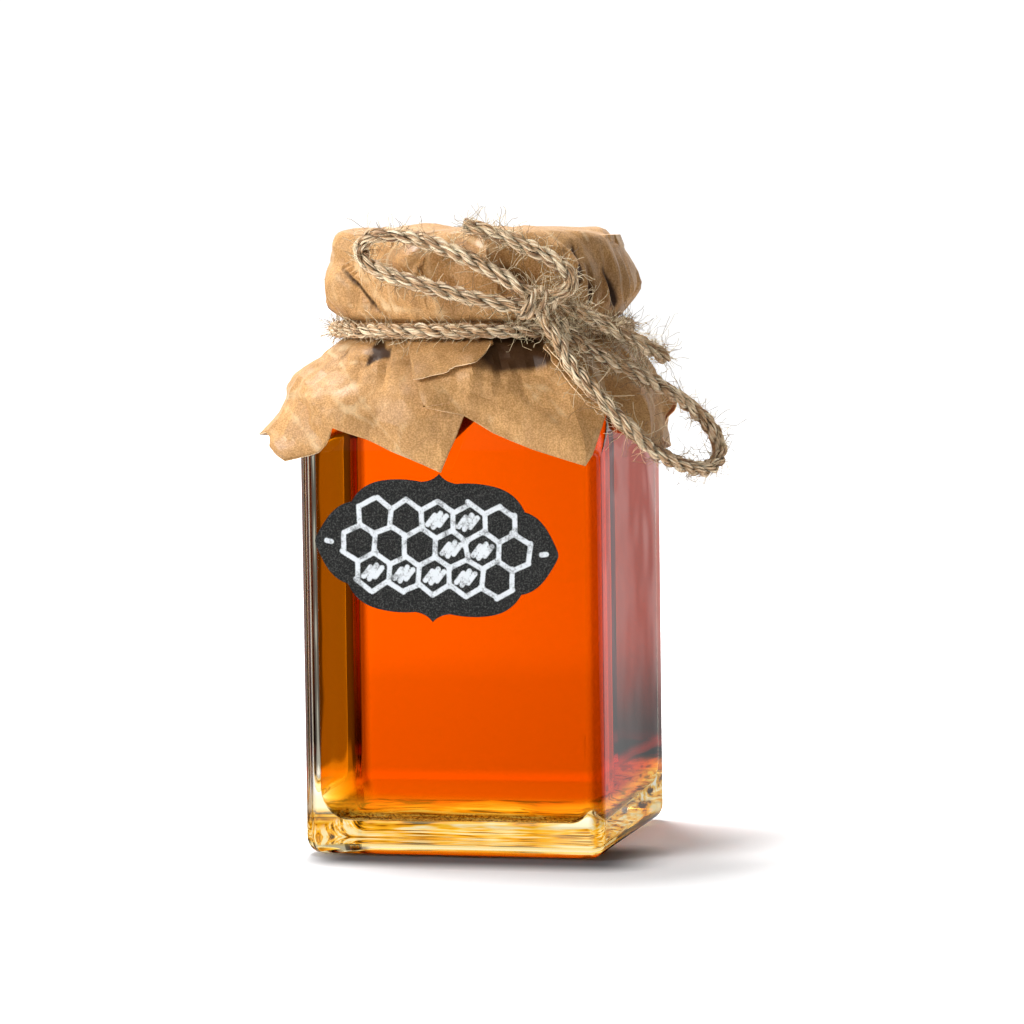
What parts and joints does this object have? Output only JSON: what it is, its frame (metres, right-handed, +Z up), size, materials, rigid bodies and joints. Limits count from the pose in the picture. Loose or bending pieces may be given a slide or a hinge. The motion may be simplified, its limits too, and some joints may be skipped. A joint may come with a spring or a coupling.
{
  "type": "honey jar",
  "caption": "Square clear-glass jar full of amber honey, shut under a crumpled kraft paper cover that a twine bow ties at the neck, with a scalloped black chalkboard label.",
  "frame": {"origin": "middle of the flat underside, on the surface that the jar stands on", "axes": "+Z up; the front face, with the label, looks along -Y; +X is to the right as seen from the front"},
  "size_m": [0.1053, 0.088, 0.1491],
  "materials": {
    "clear_glass": "polished",
    "amber_honey": "gloss",
    "lid_paint": "gloss",
    "kraft_paper": "matte",
    "jute_twine": "matte",
    "chalkboard": "matte"
  },
  "bodies": {
    "root": {"jar_glass": "clear_glass", "honey": "amber_honey", "lid": "lid_paint", "paper_cover": "kraft_paper", "twine_band": "jute_twine", "twine_knot": "jute_twine", "twine_loop_left": "jute_twine", "twine_loop_right": "jute_twine", "twine_tail_upper": "jute_twine", "twine_tail_right": "jute_twine", "label": "chalkboard"}
  },
  "joints": []
}
